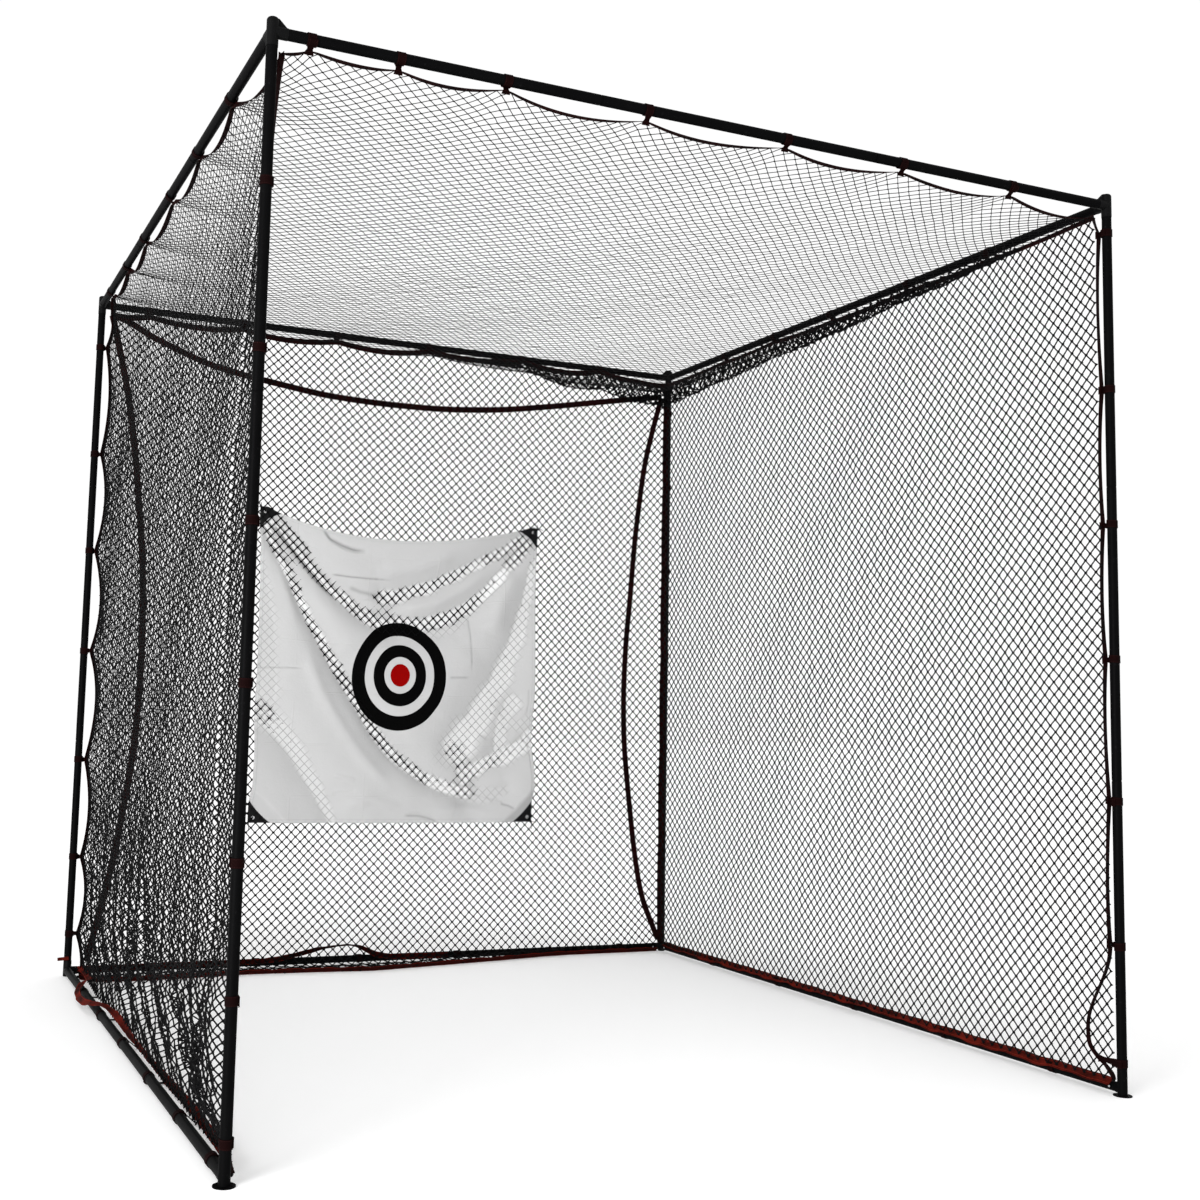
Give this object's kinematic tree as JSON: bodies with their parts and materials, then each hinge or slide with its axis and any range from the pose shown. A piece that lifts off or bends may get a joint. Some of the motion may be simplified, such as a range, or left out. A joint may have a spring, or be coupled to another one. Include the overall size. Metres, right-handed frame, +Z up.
{
  "type": "golf practice net",
  "caption": "Open-fronted cube frame of black steel tube with knotted netting on top, back and sides and a hanging cloth target with a bullseye.",
  "frame": {"origin": "on the floor, midway between the four corner posts", "axes": "+X to the right seen from the open front, +Y from the open front to the back net, +Z up"},
  "size_m": [3.06, 3.0503, 3.065],
  "materials": {
    "powder_coat": "black powder coat, fine satin texture",
    "fitting_coat": "black powder coat over a cast and welded fitting",
    "spring_steel": "zinc plated spring steel",
    "knotted_net": "black braided polyethylene twine with weaver's knots",
    "border_webbing": "dark red and black woven webbing",
    "hook_and_loop": "black and dark red hook-and-loop tape",
    "target_cloth": "thin white polyester cloth with a printed bullseye",
    "patch_cloth": "black coated nylon patch with stitching",
    "grommet_metal": "nickel plated eyelet"
  },
  "bodies": {
    "frame": {"front_left_post_lower": "powder_coat", "front_left_post_middle": "powder_coat", "front_left_post_upper": "powder_coat", "front_right_post_lower": "powder_coat", "front_right_post_middle": "powder_coat", "front_right_post_upper": "powder_coat", "back_left_post_lower": "powder_coat", "back_left_post_middle": "powder_coat", "back_left_post_upper": "powder_coat", "back_right_post_lower": "powder_coat", "back_right_post_middle": "powder_coat", "back_right_post_upper": "powder_coat", "front_top_rail_left": "powder_coat", "front_top_rail_middle": "powder_coat", "front_top_rail_right": "powder_coat", "back_top_rail_left": "powder_coat", "back_top_rail_middle": "powder_coat", "back_top_rail_right": "powder_coat", "left_top_rail_front": "powder_coat", "left_top_rail_middle": "powder_coat", "left_top_rail_back": "powder_coat", "right_top_rail_front": "powder_coat", "right_top_rail_middle": "powder_coat", "right_top_rail_back": "powder_coat", "left_floor_rail_front": "powder_coat", "left_floor_rail_middle": "powder_coat", "left_floor_rail_back": "powder_coat", "right_floor_rail_front": "powder_coat", "right_floor_rail_middle": "powder_coat", "right_floor_rail_back": "powder_coat", "back_floor_rail_left": "powder_coat", "back_floor_rail_middle": "powder_coat", "back_floor_rail_right": "powder_coat", "front_left_corner_fitting": "fitting_coat", "front_right_corner_fitting": "fitting_coat", "back_left_corner_fitting": "fitting_coat", "back_right_corner_fitting": "fitting_coat", "back_left_foot_fitting": "fitting_coat", "back_right_foot_fitting": "fitting_coat", "button_leaf_springs": "spring_steel", "top_net": "knotted_net", "left_net": "knotted_net", "right_net": "knotted_net", "back_net": "knotted_net", "front_edge_tape": "border_webbing", "left_border_tape": "border_webbing", "right_border_tape": "border_webbing", "back_border_tape": "border_webbing", "back_arc_tapes": "border_webbing", "hook_and_loop_straps": "hook_and_loop", "target_sheet": "target_cloth", "target_corner_patches": "patch_cloth", "target_grommets": "grommet_metal"},
    "left_front_button": {"left_front_snap_button": "spring_steel"},
    "right_front_button": {"right_front_snap_button": "spring_steel"},
    "left_back_button": {"left_back_snap_button": "spring_steel"},
    "right_back_button": {"right_back_snap_button": "spring_steel"},
    "rear_left_button": {"rear_left_snap_button": "spring_steel"},
    "rear_right_button": {"rear_right_snap_button": "spring_steel"}
  },
  "joints": [
    {"name": "left_front_button_press", "type": "slide", "parent": "frame", "child": "left_front_button", "axis": [-1, 0, 0], "range_m": [0, 0.005], "stiffness_N_per_m": 1500, "springref_m": -0.003},
    {"name": "right_front_button_press", "type": "slide", "parent": "frame", "child": "right_front_button", "axis": [1, 0, 0], "range_m": [0, 0.005], "stiffness_N_per_m": 1500, "springref_m": -0.003},
    {"name": "left_back_button_press", "type": "slide", "parent": "frame", "child": "left_back_button", "axis": [-1, 0, 0], "range_m": [0, 0.005], "stiffness_N_per_m": 1500, "springref_m": -0.003},
    {"name": "right_back_button_press", "type": "slide", "parent": "frame", "child": "right_back_button", "axis": [1, 0, 0], "range_m": [0, 0.005], "stiffness_N_per_m": 1500, "springref_m": -0.003},
    {"name": "rear_left_button_press", "type": "slide", "parent": "frame", "child": "rear_left_button", "axis": [0, 1, 0], "range_m": [0, 0.005], "stiffness_N_per_m": 1500, "springref_m": -0.003},
    {"name": "rear_right_button_press", "type": "slide", "parent": "frame", "child": "rear_right_button", "axis": [0, 1, 0], "range_m": [0, 0.005], "stiffness_N_per_m": 1500, "springref_m": -0.003}
  ]
}
